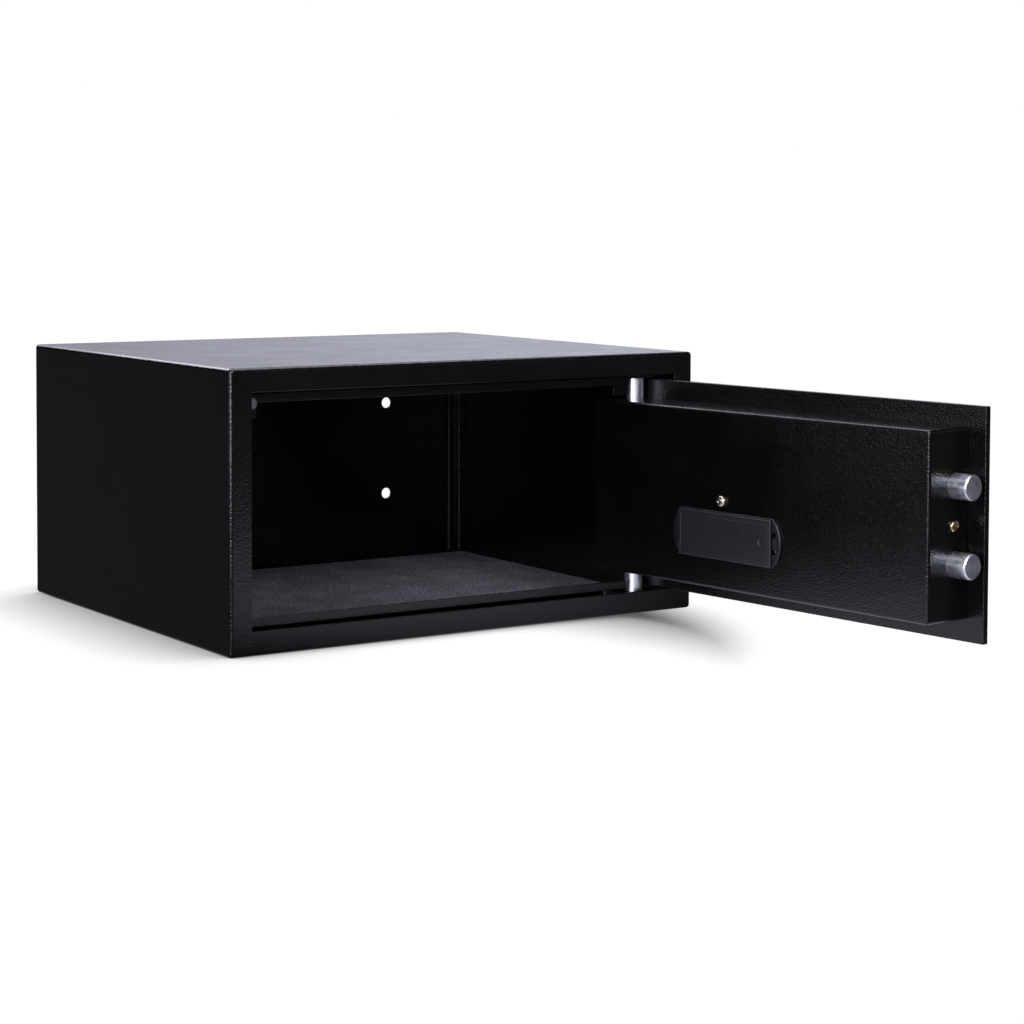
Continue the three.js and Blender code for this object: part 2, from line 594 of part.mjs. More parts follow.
place(door, 'keypad_housing', keypadHousing(), BLACK_ABS);
place(door, 'display_window', displayWindow(), DARK_GLASS);
const keyNames = ['1', '2', '3', '4', '5', '6', '7', '8', '9', 'clear', '0', 'enter'];
keyPlaces.forEach(([x, z], i) => place(door, `key_${keyNames[i]}`, keyCap(x, z), KEY_GREY));

// ---- battery bay -------------------------------------------------------------------------------
function batteryHolder() {
  const halfL = BAY.l / 2;
  const halfH = BAY.h / 2;
  const { x, z } = BATTERY;
  const y = COVER.y1 + GAP;
  const tray = box(x - halfL - BAY.wall, x + halfL + BAY.wall, BAY.floor - BAY.wall, y + 1,
    z - halfH - BAY.wall, z + halfH + BAY.wall);
  const { l, h, t, opening } = BEZEL;
  const bezel = roundedPlate(x - l / 2, x + l / 2, z - h / 2, z + h / 2, 9, y, y + t, 5, 0.5);
  return cut(
    join(tray, bezel),
    box(x - halfL, x + halfL, BAY.floor, COVER.y1 - 1.5, z - halfH, z + halfH),
    box(x - opening / 2, x + opening / 2, COVER.y1 - 3, y + 5, z - halfH, z + halfH),
  );
}

function cell(x, z, flip) {
  const { r, cell: length } = BATTERY;
  const nub = { r: 2.7, h: 1.2 };
  const can = [[0, 0], [r - 0.4, 0], [r, 0.5], [r, length - nub.h - 0.4], [r - 0.6, length - nub.h]];
  const solid = turned([...can, [nub.r, length - nub.h], [nub.r, length], [0, length]], 20);
  solid.translate(0, -length / 2, 0);
  solid.rotateZ(flip ? Math.PI / 2 : -Math.PI / 2);
  solid.translate(x, CELL_Y, z);
  return solid;
}

// A plated strip with one raised dimple for each cell.
function contactStrip(sign) {
  const wall = BATTERY.x + sign * (BAY.l / 2 - GAP);
  const inner = wall - sign * 0.7;
  const tip = BATTERY.x + sign * (BATTERY.cell + 0.5);
  const span = (a, b) => [Math.min(a, b), Math.max(a, b)];
  const strip = box(...span(wall, inner), BAY.floor + 0.6, BAY.floor + 12, BATTERY.z - 13, BATTERY.z + 13);
  const dimples = [-1, 1].map((side) => rod('x', 3, ...span(inner + sign * 0.3, tip), CELL_Y,
    BATTERY.z + side * BATTERY.pitch / 2, 12));
  return join(strip, ...dimples);
}

function batteryHatch() {
  const { x, z } = BATTERY;
  const y0 = COVER.y1 + GAP + BEZEL.t + GAP;
  const { l, h, t, finger, inset } = HATCH;
  const plate = roundedPlate(x - l / 2, x + l / 2, z - h / 2, z + h / 2, 1.2, y0, y0 + t, 2, 0.5);
  return cut(plate, rod('y', finger, y0 + t - 0.6, y0 + t + 2, x - l / 2 + inset, z, 16));
}

place(door, 'battery_holder', batteryHolder(), BLACK_ABS);
place(door, 'battery_contact_free', contactStrip(-1), NICKEL);
place(door, 'battery_contact_hinge', contactStrip(1), NICKEL);
for (const [row, sign] of [['upper', 1], ['lower', -1]]) {
  for (const [end, side] of [['free', -1], ['hinge', 1]]) {
    const z = BATTERY.z + sign * BATTERY.pitch / 2;
    const x = BATTERY.x + side * (BATTERY.cell / 2 + 0.2);
    place(door, `battery_${row}_${end}`, cell(x, z, sign > 0), CELL_SKIN);
  }
}
place(door, 'battery_cover', batteryHatch(), BLACK_ABS);

// ---- electronics -------------------------------------------------------------------------------
const LEG = { r: 2.5, inset: 5 };
const CHIP = { x0: -150, x1: -132, z0: 138, z1: 156, high: 2 };
const BUZZER = { r: 5.5, x: -116, z: 152, high: 7 };
const CAPACITOR = { r: 4, x: -166, z: 130, high: 10 };
const CONNECTORS = [
  { x0: -184, x1: -174, z0: 146, z1: 160, high: 5 },
  { x0: -111, x1: -99, z0: 124, z1: 132, high: 5 },
  { x0: -184, x1: -177, z0: 128, z1: 138, high: 5 },
];

// A board on four legs with its chip, buzzer, capacitor and three connectors.
function controlBoard() {
  const { x0, x1, z0, z1, y0, y1 } = BOARD;
  const legs = [];
  for (const x of [x0 + LEG.inset, x1 - LEG.inset]) {
    for (const z of [z0 + LEG.inset, z1 - LEG.inset]) {
      legs.push(rod('y', LEG.r, INNER_Y, y0 + 0.5, x, z, 12));
    }
  }
  const blocks = [CHIP, ...CONNECTORS].map((b) => box(b.x0, b.x1, y1 - 0.5, y1 + b.high, b.z0, b.z1));
  const cans = [BUZZER, CAPACITOR].map((c) => rod('y', c.r, y1 - 0.5, y1 + c.high, c.x, c.z, 20));
  return join(box(x0, x1, y0, y1, z0, z1), ...legs, ...blocks, ...cans);
}

// The ribbon comes through the plate, turns over the motor and ends at the board's connector.
function keypadRibbon() {
  const t = 0.8;
  const mid = (RIBBON_SLOT.x0 + RIBBON_SLOT.x1) / 2;
  const top = BOARD.y1 + 3;
  const outline = [
    [mid, PLATE.y0 + 0.4], [mid + t, PLATE.y0 + 0.4], [mid + t, top - 4 - t], [mid + 4 + t, top - t],
    [-184.3, top - t], [-184.3, top], [mid + 4, top], [mid, top - 4],
  ];
  return prism(outline, RIBBON_SLOT.z0 + 1, RIBBON_SLOT.z1 - 1);
}

const batteryLead = wire([[-105, 22, 97.6], [-105, 22, 108], [-105, 20, 114], [-105, 15, 119.5],
  [-105, 14, 122.8]], 1.2, 12);
const motorLead = wire([[-198, 0, 120], [-194, 1, 121], [-190.5, 6, 124], [-189.5, 12, 129],
  [-187, 14.6, 132], [-184.4, 14.8, 133]], 1.2, 14);

place(door, 'control_board', controlBoard(), CIRCUIT);
place(door, 'keypad_ribbon', keypadRibbon(), RIBBON);
place(door, 'battery_lead', batteryLead, WIRE);
place(door, 'motor_lead', motorLead, WIRE);

export default safe;
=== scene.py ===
"""Looks of the in-room safe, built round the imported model: powder-coated casing and door, chrome bolt work,
felt mat, battery bay and front keypad. Lengths are in metres; MM turns millimetres into them."""
import json
import math

import bmesh
import bpy
import numpy as np
from mathutils import Matrix, Vector


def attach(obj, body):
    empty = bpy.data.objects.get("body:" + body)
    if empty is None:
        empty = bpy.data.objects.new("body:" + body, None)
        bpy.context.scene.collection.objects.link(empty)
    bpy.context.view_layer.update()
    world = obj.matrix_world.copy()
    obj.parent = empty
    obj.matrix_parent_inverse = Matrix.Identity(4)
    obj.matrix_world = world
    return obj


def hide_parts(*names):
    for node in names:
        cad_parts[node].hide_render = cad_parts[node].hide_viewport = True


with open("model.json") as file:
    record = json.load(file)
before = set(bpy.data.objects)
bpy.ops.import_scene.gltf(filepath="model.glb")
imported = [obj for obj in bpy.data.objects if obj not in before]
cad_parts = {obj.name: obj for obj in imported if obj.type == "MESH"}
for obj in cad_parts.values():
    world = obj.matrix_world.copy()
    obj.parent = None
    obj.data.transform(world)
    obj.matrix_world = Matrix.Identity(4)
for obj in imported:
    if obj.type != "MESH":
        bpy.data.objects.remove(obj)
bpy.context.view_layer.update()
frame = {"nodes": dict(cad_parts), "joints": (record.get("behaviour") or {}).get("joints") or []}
MM = 0.001
NODES = frame["nodes"]


# ---- places from the frame -----------------------------------------------------------------------
def joint(name):
    return next(j for j in frame["joints"] if j["name"] == name)


def turn_z(angle):
    c, s = math.cos(angle), math.sin(angle)
    return np.array([[c, -s, 0], [s, c, 0], [0, 0, 1]])


HINGE = joint("door_hinge")
AXIS = np.array([HINGE["pos_m"][0], HINGE["pos_m"][1], 0])
OPEN = turn_z(math.radians(-HINGE["range_deg"][0]))  # turns the shut door to where it stands at rest


def from_door(points):
    """Points of the shut door, measured from the hinge axis, put where the open door holds them."""
    return np.asarray(points) @ OPEN.T + AXIS


def node_points(node):
    mesh = NODES[node].data
    flat = np.empty(len(mesh.vertices) * 3)
    mesh.vertices.foreach_get("co", flat)
    return flat.reshape(-1, 3)


def row_box(node):
    """Lowest and highest corner of a CAD node."""
    points = node_points(node)
    return points.min(0), points.max(0)


def door_box(node):
    """The same, measured on the shut door from its hinge axis."""
    points = (node_points(node) - AXIS) @ OPEN
    return points.min(0), points.max(0)


def middle(box):
    return (box[0] + box[1]) / 2


# ---- surfaces ------------------------------------------------------------------------------------
def rim(w, h, r, steps=6):
    """A rectangle w by h whose four corners are quarter circles of radius r, anticlockwise."""
    r = min(r, w / 2 - 1e-6, h / 2 - 1e-6)
    angle = np.linspace(0, math.pi / 2, steps + 1)
    quarters = [(1, 1, 0), (-1, 1, 1), (-1, -1, 2), (1, -1, 3)]
    return np.concatenate([
        np.stack([sx * (w / 2 - r) + r * np.cos(angle + q * math.pi / 2),
                  sy * (h / 2 - r) + r * np.sin(angle + q * math.pi / 2)], 1) for sx, sy, q in quarters])


def carried(w, h, r, profile, centre=(0, 0), steps=6, least=0.25 * MM):
    """Rings in X and Z: the w by h rim, pulled in by each profile step's inset, at that step's height
    along Y."""
    rings = []
    for inset, y in profile:
        flat = rim(w - 2 * inset, h - 2 * inset, max(r - inset, least), steps)
        rings.append(np.column_stack([flat[:, 0] + centre[0], np.full(len(flat), y), flat[:, 1] + centre[1]]))
    return np.array(rings)


def arc(u, v, r, start, end, steps=5):
    """Points on a circle of radius r round (u, v), from start to end in degrees."""
    angle = np.radians(np.linspace(start, end, steps + 1))
    return [(u + r * math.cos(a), v + r * math.sin(a)) for a in angle]


def turned(profile, sides=48):
    """Rings round the Y axis: each profile step (radius, height) swept through a full turn."""
    angle = np.linspace(0, 2 * math.pi, sides, endpoint=False)
    r, y = np.array(profile).T
    across, up = r[:, None] * np.cos(angle), r[:, None] * np.sin(angle)
    return np.stack([across, np.repeat(y[:, None], sides, 1), up], 2)


def lay(points, axis, place):
    """Turns a shape made along Y so that it runs along axis, then moves it to place."""
    turns = {"x": [[0, 1, 0], [-1, 0, 0], [0, 0, 1]], "y": np.eye(3), "z": [[1, 0, 0], [0, 0, -1], [0, 1, 0]],
             "-x": [[0, -1, 0], [1, 0, 0], [0, 0, 1]], "-y": [[-1, 0, 0], [0, -1, 0], [0, 0, 1]],
             "-z": [[1, 0, 0], [0, 0, 1], [0, -1, 0]]}
    return points @ np.array(turns[axis], float).T + np.asarray(place)


def skin(rings, loop=False):
    """Vertices and faces of a closed surface through rings: quads between them, and a cap on each end
    unless the last ring joins the first."""
    count, sides = rings.shape[:2]
    index = np.arange(count * sides).reshape(count, sides)
    low = index if loop else index[:-1]
    high = np.roll(index, -1, 0) if loop else index[1:]
    quads = np.stack([low, np.roll(low, -1, 1), np.roll(high, -1, 1), high], -1).reshape(-1, 4).tolist()
    caps = [] if loop else [index[0][::-1].tolist(), index[-1].tolist()]
    return rings.reshape(-1, 3), quads + caps


def make(name, points, faces):
    """A mesh object at the origin with its faces pointing out."""
    mesh = bpy.data.meshes.new(name)
    mesh.from_pydata(np.asarray(points).tolist(), [], faces)
    work = bmesh.new()
    work.from_mesh(mesh)
    bmesh.ops.remove_doubles(work, verts=work.verts, dist=1e-7)
    bmesh.ops.recalc_face_normals(work, faces=work.faces)
    work.to_mesh(mesh)
    work.free()
    piece = bpy.data.objects.new(name, mesh)
    bpy.context.scene.collection.objects.link(piece)
    return piece


def settle(piece):
    """Applies a piece's modifiers to its mesh."""
    bpy.context.view_layer.update()
    graph = bpy.context.evaluated_depsgraph_get()
    mesh = bpy.data.meshes.new_from_object(piece.evaluated_get(graph))
    piece.modifiers.clear()
    piece.data = mesh
    return piece


def cut(piece, *cutters):
    """Takes the cutters out of a piece."""
    for cutter in cutters:
        step = piece.modifiers.new("cut", "BOOLEAN")
        step.operation, step.solver, step.object = "DIFFERENCE", "EXACT", cutter
    settle(piece)
    for cutter in cutters:
        bpy.data.objects.remove(cutter)
    return piece


def dress(piece, material, body, slot, *nodes, angle=32, bevel=0, segments=2):
    """Shading, edge rounding, finish, body and the CAD nodes that a piece stands for."""
    mesh = piece.data
    mesh.materials.clear()
    mesh.materials.append(material)
    mesh.shade_smooth()
    mesh.set_sharp_from_angle(angle=math.radians(angle))
    if bevel:
        step = piece.modifiers.new("edge rounding", "BEVEL")
        step.width, step.segments, step.limit_method = bevel, segments, "ANGLE"
        step.angle_limit = math.radians(40)
        step.use_clamp_overlap = True
    step = piece.modifiers.new("flat faces stay flat", "WEIGHTED_NORMAL")
    step.keep_sharp = True
    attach(piece, body)
    if nodes:
        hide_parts(*nodes)
    return piece


def refined(node, material, body, slot, bevel=0.4 * MM, segments=2):
    """A CAD node's own shape with its flat faces made whole and its edges rounded."""
    piece = bpy.data.objects.new(node + "_piece", NODES[node].data.copy())
    bpy.context.scene.collection.objects.link(piece)
    work = bmesh.new()
    work.from_mesh(piece.data)
    bmesh.ops.remove_doubles(work, verts=work.verts, dist=2e-6)
    bmesh.ops.dissolve_limit(work, angle_limit=math.radians(0.5), verts=work.verts, edges=work.edges)
    work.to_mesh(piece.data)
    work.free()
    return dress(piece, material, body, slot, node, bevel=bevel, segments=segments)


# ---- finishes ------------------------------------------------------------------------------------
def linear(hex_colour):
    """An sRGB hex colour as linear red, green, blue and alpha."""
    srgb = [int(hex_colour[i:i + 2], 16) / 255 for i in (1, 3, 5)]
    return tuple(c / 12.92 if c <= 0.04045 else ((c + 0.055) / 1.055) ** 2.4 for c in srgb) + (1.0,)


def add(tree, kind, settings=None, inputs=None):
    """Adds one node, sets its properties, and sets or links its inputs."""
    node = tree.nodes.new(kind)
    for name, value in (settings or {}).items():
        setattr(node, name, value)
    for name, value in (inputs or {}).items():
        if isinstance(value, bpy.types.NodeSocket):
            tree.links.new(value, node.inputs[name])
        else:
            node.inputs[name].default_value = value
    return node


def start(name):
    """A new material, its node tree, its shader and its object coordinates."""
    material = bpy.data.materials.new(name)
    material.use_nodes = True
    tree = material.node_tree
    tree.nodes.clear()
    shader = add(tree, "ShaderNodeBsdfPrincipled")
    add(tree, "ShaderNodeOutputMaterial", {}, {"Surface": shader.outputs[0]})
    place = add(tree, "ShaderNodeTexCoord").outputs["Object"]
    return material, tree, shader, place


def ramp(tree, value, stops):
    """A colour ramp through (position, hex colour) stops."""
    node = add(tree, "ShaderNodeValToRGB", {}, {0: value})
    points = node.color_ramp.elements
    while len(points) < len(stops):
        points.new(0.5)
    for point, (position, colour) in zip(points, stops):
        point.position, point.color = position, linear(colour)
    return node.outputs[0]


def powder_coat(name, dark, light, roughness):
    """Black epoxy-polyester powder coat, baked on steel: semi-gloss, with orange peel about 1.3 mm across
    and a fine grain of cured powder. Slow waves 40 mm long shift its depth and gloss a little."""
    material, tree, shader, place = start(name)
    peel = add(tree, "ShaderNodeTexNoise", {}, {"Vector": place, "Scale": 1 / (1.3 * MM), "Detail": 0.0})
    grain = add(tree, "ShaderNodeTexNoise", {}, {"Vector": place, "Scale": 1 / (0.5 * MM), "Detail": 1.0})
    wave = add(tree, "ShaderNodeTexNoise", {}, {"Vector": place, "Scale": 1 / (40 * MM), "Detail": 2.0})
    colour = ramp(tree, wave.outputs["Fac"], [(0.3, dark), (0.75, light)])
    rough = add(tree, "ShaderNodeMapRange", {}, {
        "Value": wave.outputs["Fac"], "From Min": 0.3, "From Max": 0.7,
        "To Min": roughness - 0.015, "To Max": roughness + 0.02})
    fine = add(tree, "ShaderNodeBump", {}, {
        "Strength": 0.6, "Distance": 0.03 * MM, "Height": grain.outputs["Fac"]})
    bump = add(tree, "ShaderNodeBump", {}, {
        "Strength": 1.0, "Distance": 0.16 * MM, "Height": peel.outputs["Fac"], "Normal": fine.outputs[0]})
    tree.links.new(colour, shader.inputs["Base Color"])
    tree.links.new(rough.outputs[0], shader.inputs["Roughness"])
    tree.links.new(bump.outputs[0], shader.inputs["Normal"])
    shader.inputs["IOR"].default_value = 1.5
    shader.inputs["Specular IOR Level"].default_value = 0.5
    return material


def bright_metal(name, dark, light, roughness, streak=0.25, peel=0.0):
    """Plated or turned metal: full reflection, fine polishing marks streak mm wide, and faint haze."""
    material, tree, shader, place = start(name)
    marks = add(tree, "ShaderNodeTexNoise", {}, {"Vector": place, "Scale": 1 / (streak * MM), "Detail": 3.0})
    haze = add(tree, "ShaderNodeTexNoise", {}, {"Vector": place, "Scale": 1 / (6 * MM), "Detail": 3.0})
    colour = ramp(tree, haze.outputs["Fac"], [(0.3, dark), (0.7, light)])
    rough = add(tree, "ShaderNodeMapRange", {}, {
        "Value": haze.outputs["Fac"], "From Min": 0.3, "From Max": 0.7,
        "To Min": roughness * 0.8, "To Max": roughness * 1.25})
    bump = add(tree, "ShaderNodeBump", {}, {
        "Strength": 0.25, "Distance": 0.006 * MM + peel, "Height": marks.outputs["Fac"]})
    shader.inputs["Metallic"].default_value = 1.0
    tree.links.new(colour, shader.inputs["Base Color"])
    tree.links.new(rough.outputs[0], shader.inputs["Roughness"])
    tree.links.new(bump.outputs[0], shader.inputs["Normal"])
    return material


def moulded(name, dark, light, roughness, grain=0.35, depth=0.02, sheen=0.0):
    """Injection-moulded plastic or rubber with the spark-eroded grain of its tool."""
    material, tree, shader, place = start(name)
    pits = add(tree, "ShaderNodeTexNoise", {}, {"Vector": place, "Scale": 1 / (grain * MM), "Detail": 2.0})
    cloud = add(tree, "ShaderNodeTexNoise", {}, {"Vector": place, "Scale": 1 / (9 * MM), "Detail": 2.0})
    colour = ramp(tree, cloud.outputs["Fac"], [(0.3, dark), (0.7, light)])
    bump = add(tree, "ShaderNodeBump", {}, {
        "Strength": 0.5, "Distance": depth * MM, "Height": pits.outputs["Fac"]})
    rough = add(tree, "ShaderNodeMapRange", {}, {
        "Value": pits.outputs["Fac"], "From Min": 0.3, "From Max": 0.7,
        "To Min": roughness - 0.05, "To Max": roughness + 0.05})
    tree.links.new(colour, shader.inputs["Base Color"])
    tree.links.new(rough.outputs[0], shader.inputs["Roughness"])
    tree.links.new(bump.outputs[0], shader.inputs["Normal"])
    shader.inputs["Sheen Weight"].default_value = sheen
    return material


def needle_felt():
    """Needle-punched polyester felt: grey-violet fibres in lighter and darker tufts about 2 mm across, matt,
    with the soft sheen of loose fibre ends."""
    material, tree, shader, place = start("needle_punched_felt")
    tuft = add(tree, "ShaderNodeTexNoise", {}, {"Vector": place, "Scale": 1 / (2.6 * MM), "Detail": 3.0})
    fibre = add(tree, "ShaderNodeTexNoise", {}, {
        "Vector": place, "Scale": 1 / (0.8 * MM), "Detail": 2.0, "Distortion": 1.2})
    patch = add(tree, "ShaderNodeTexNoise", {}, {"Vector": place, "Scale": 1 / (35 * MM), "Detail": 2.0})
    mix = add(tree, "ShaderNodeMath", {"operation": "ADD"}, {0: tuft.outputs["Fac"], 1: fibre.outputs["Fac"]})
    mixed = add(tree, "ShaderNodeMath", {"operation": "MULTIPLY_ADD"}, {
        0: patch.outputs["Fac"], 1: 0.35, 2: mix.outputs[0]})
    level = add(tree, "ShaderNodeMapRange", {}, {
        "Value": mixed.outputs[0], "From Min": 0.95, "From Max": 1.4, "To Min": 0.0, "To Max": 1.0})
    colour = ramp(tree, level.outputs[0], [(0.0, "#151217"), (0.5, "#403a46"), (1.0, "#8a8293")])
    low = add(tree, "ShaderNodeBump", {}, {
        "Strength": 0.8, "Distance": 0.5 * MM, "Height": tuft.outputs["Fac"]})
    bump = add(tree, "ShaderNodeBump", {}, {
        "Strength": 0.7, "Distance": 0.2 * MM, "Height": fibre.outputs["Fac"], "Normal": low.outputs[0]})
    tree.links.new(colour, shader.inputs["Base Color"])
    tree.links.new(bump.outputs[0], shader.inputs["Normal"])
    shader.inputs["Roughness"].default_value = 0.95
    shader.inputs["Sheen Weight"].default_value = 0.06
    shader.inputs["Sheen Roughness"].default_value = 0.5
    return material


def clear_rubber():
    """Cast polyurethane bumper: cloudy and slightly see-through, so it is light grey on black steel."""
    material, tree, shader, place = start("cast_clear_polyurethane")
    cloud = add(tree, "ShaderNodeTexNoise", {}, {"Vector": place, "Scale": 1 / (3 * MM), "Detail": 2.0})
    colour = ramp(tree, cloud.outputs["Fac"], [(0.3, "#5d5c60"), (0.7, "#77767b")])
    tree.links.new(colour, shader.inputs["Base Color"])
    shader.inputs["Roughness"].default_value = 0.3
    shader.inputs["Transmission Weight"].default_value = 0.3
    shader.inputs["Subsurface Weight"].default_value = 0.2
    shader.inputs["Subsurface Radius"].default_value = (2 * MM, 2 * MM, 2 * MM)
    return material


def circuit_board():
    """Glass-epoxy board with green solder mask over traces about 0.6 mm wide."""
    material, tree, shader, place = start("green_solder_mask")
    traces = add(tree, "ShaderNodeTexBrick", {"offset": 0.5}, {
        "Vector": place, "Scale": 1 / (6 * MM), "Color1": linear("#173f27"), "Color2": linear("#1c4a2e"),
        "Mortar": linear("#2f6b43"), "Mortar Size": 0.05})
    tree.links.new(traces.outputs["Color"], shader.inputs["Base Color"])
    shader.inputs["Roughness"].default_value = 0.3
    return material


def smoked_acrylic():
    """Polished smoked acrylic over a dark display, with the long waves of a moulded window."""
    material, tree, shader, place = start("smoked_acrylic")
    wave = add(tree, "ShaderNodeTexNoise", {}, {"Vector": place, "Scale": 1 / (30 * MM), "Detail": 1.0})
    colour = ramp(tree, wave.outputs["Fac"], [(0.3, "#07090a"), (0.7, "#0c1012")])
    bump = add(tree, "ShaderNodeBump", {}, {
        "Strength": 0.2, "Distance": 0.05 * MM, "Height": wave.outputs["Fac"]})
    tree.links.new(colour, shader.inputs["Base Color"])
    tree.links.new(bump.outputs[0], shader.inputs["Normal"])
    shader.inputs["Roughness"].default_value = 0.06
    return material


# Painted highlight: the weld beads are under the same black coat as the casing, but are drawn in a lighter
# grey so the stitches show bright in the dark rear corners.
WELD_PAINTED_HIGHLIGHT = powder_coat("weld_bead_painted_highlight", "#2c2a2f", "#4a474e", 0.4)
COAT = powder_coat("black_powder_coat", "#030303", "#050506", 0.21)
CHROME = bright_metal("polished_chrome_plate", "#e2e9f2", "#f3f7fc", 0.33)
NICKEL = bright_metal("nickel_plate", "#b5b0a4", "#d0cbbd", 0.22)
YELLOW_ZINC = bright_metal("yellow_passivated_zinc", "#9a8f68", "#d9cfa6", 0.25, 0.6)
ZINC = bright_metal("bright_zinc_plate", "#8b9095", "#a9aeb3", 0.35, 0.5)
BRASS = bright_metal("turned_brass", "#9a7838", "#b8934a", 0.25)
FELT = needle_felt()
CLEAR = clear_rubber()
BLACK_ABS = moulded("black_grained_abs", "#0f0f13", "#16151b", 0.42)
# Painted shade: the battery holder's flange, latch guide and tray get a darker copy of the black ABS,
# standing in for the shade in their inset. Its roughness is the same as the lid's.
BAY_ABS_PAINTED_SHADE = moulded("black_abs_painted_shade", "#050506", "#08080a", 0.42)
GREY_ABS = moulded("grey_grained_abs", "#34363b", "#3e4046", 0.45)
KEY_RUBBER = moulded("grey_silicone_rubber", "#8d8f92", "#9b9da0", 0.6, 0.5, 0.012, 0.1)
ACETAL = moulded("natural_acetal", "#d9d4c5", "#e6e2d6", 0.4)
WIRE = moulded("red_wire_sleeve", "#7a1b18", "#96231f", 0.45, 0.8)
RIBBON = moulded("grey_ribbon_cable", "#85878b", "#999b9f", 0.5, 1.27, 0.1)
SLEEVE = moulded("black_shrink_sleeve", "#0b0e12", "#12161b", 0.3, 2.0, 0.01)
PRINT = moulded("white_key_print", "#e9e9e9", "#f4f4f4", 0.6)
BOARD = circuit_board()
ACRYLIC = smoked_acrylic()


# ---- casing --------------------------------------------------------------------------------------
SHEET = 2 * MM
FOLD = 3 * MM            # outside radius of the casing's folds
LIP = 18.5 * MM
shell_low, shell_high = row_box("body_shell")
WIDE, DEEP, HIGH = shell_high - shell_low
FRONT = shell_low[1]


def casing_wrap():
    """One sheet carried round the casing: the section runs forward along the outside, folds over the front
    into the lip, rounds the lip's cut edge and comes back along the inside."""
    front_fold, lip_edge, inner = 3.2 * MM, 0.7 * MM, 0.8 * MM
    section = [(0, DEEP), (0, DEEP / 2)]
    section += arc(front_fold, front_fold, front_fold, 180, 270, 8)
    section += arc(LIP - lip_edge, lip_edge, lip_edge, 270, 360, 5)
    section += arc(LIP - lip_edge, SHEET - lip_edge, lip_edge, 0, 90, 5)
    section += arc(SHEET + inner, SHEET + inner, inner, 270, 180, 4)
    section += [(SHEET, DEEP / 2), (SHEET, DEEP)]
    profile = [(inset, FRONT + y) for inset, y in section]
    rings = carried(WIDE, HIGH, FOLD, profile, (0, HIGH / 2), 8, 0.9 * MM)
    piece = make("casing_wrap", *skin(rings, loop=True))
    return dress(piece, COAT, "casing", "black_powder_coat", "body_shell", angle=40)


def weld_bead(points, radius, pitch):
    """A run of overlapping weld drops along a straight line: the radius swells and pinches once a pitch."""
    start, end = np.array(points, float)
    length = np.linalg.norm(end - start)
    along = np.linspace(0, 1, int(length / pitch * 8))
    swell = radius * (0.4 + 0.6 * np.abs(np.sin(math.pi * along * length / pitch)) ** 0.4)
    swell[[0, -1]] *= 0.3
    angle = np.linspace(0, 2 * math.pi, 10, endpoint=False)
    direction = (end - start) / length
    side = np.cross(direction, [0.3, 0.5, 0.81])
    side /= np.linalg.norm(side)
    up = np.cross(direction, side)
    ring = np.cos(angle)[:, None] * side + np.sin(angle)[:, None] * up
    return (start + along[:, None] * (end - start))[:, None, :] + swell[:, None, None] * ring


def corner_strip(side, name):
    """An angle that lines a rear corner: an L carried up it, with stitch welds down both free edges."""
    low, high = row_box(name)
    x, y, leg, t = side * max(abs(low[0]), abs(high[0])), high[1], high[0] - low[0], 1.3 * MM
    corners = [(x - side * leg, y), (x - side * leg, y - t), (x - side * t, y - t), (x - side * t, y - leg),
               (x, y - leg), (x, y)]
    ends = np.array([[[cx, cy, z] for cx, cy in corners] for z in (low[2], high[2])])
    strip = make(name + "_piece", *skin(ends))
    dress(strip, COAT, "casing", "black_powder_coat", name, bevel=0.25 * MM)
    for k, (cx, cy) in enumerate(((x - side * leg, y - t), (x - side * t, y - leg))):
        line = weld_bead([(cx, cy, low[2] + 1 * MM), (cx, cy, high[2] - 1 * MM)], 1.15 * MM, 11 * MM)
        bead = make(f"{name}_weld_{k + 1}", *skin(line))
        # The bead's lighter grey is a painted highlight, not a different coat.
        dress(bead, WELD_PAINTED_HIGHLIGHT, "casing", "black_powder_coat", angle=80)


def rear_weld():
    """The back panel's fillet weld: a flattened bead in the angle between the panel and the folded casing."""
    panel = row_box("back_panel")[1][1]
    edge, radius = 2.0 * MM, 0.9 * MM
    section = [(edge + radius * math.cos(a), panel + 0.35 * MM + radius * math.sin(a) * 0.7)
               for a in np.linspace(0, 2 * math.pi, 12, endpoint=False)]
    rings = carried(WIDE, HIGH, FOLD, section, (0, HIGH / 2), 6, 1.2 * MM)
    bead = make("back_panel_weld", *skin(rings, loop=True))
    dress(bead, COAT, "casing", "black_powder_coat", angle=80)


def hinge_pin(name, direction):
    """A turned and chromed pin with a rounded nose."""
    low, high = row_box(name)
    r, length = (high[0] - low[0]) / 2, high[2] - low[2]
    profile = [(r - 0.6 * MM, 0), (r, 0.6 * MM), (r, length - 1 * MM)]
    profile += arc(r - 1 * MM, length - 1 * MM, 1 * MM, 0, 90, 4)
    base = low[2] if direction == "z" else high[2]
    rings = lay(turned(profile, 64), direction, ((low[0] + high[0]) / 2, (low[1] + high[1]) / 2, base))
    piece = make(name + "_piece", *skin(rings))
    dress(piece, CHROME, "casing", "chrome", name)


def door_buffer():
    """A cast dome, flat at the back, on its stop tab."""
    low, high = row_box("door_buffer")
    r, tall = (high[0] - low[0]) / 2, high[1] - low[1]
    foot = 0.5 * MM
    profile = [(r, 0), (r, foot)]
    profile += [(r * math.cos(a), foot + (tall - foot) * math.sin(a)) for a in np.linspace(0.15, 1.45, 9)]
    centre = middle((low, high))
    rings = lay(turned(profile, 40), "-y", (centre[0], high[1], centre[2]))
    piece = make("door_buffer_piece", *skin(rings))
    dress(piece, CLEAR, "casing", "clear_rubber", "door_buffer", angle=60)


casing_wrap()
rear_weld()
corner_strip(-1, "corner_strip_left")
corner_strip(1, "corner_strip_right")
hinge_pin("hinge_pin_lower", "z")
hinge_pin("hinge_pin_upper", "-z")
door_buffer()
for steel in ("back_panel", "stop_strip_lower", "stop_strip_upper", "keeper_plate", "hinge_lug_lower",
              "hinge_lug_upper"):
    refined(steel, COAT, "casing", "black_powder_coat")
refined("floor_mat", FELT, "casing", "floor_felt", 0.9 * MM, 3)


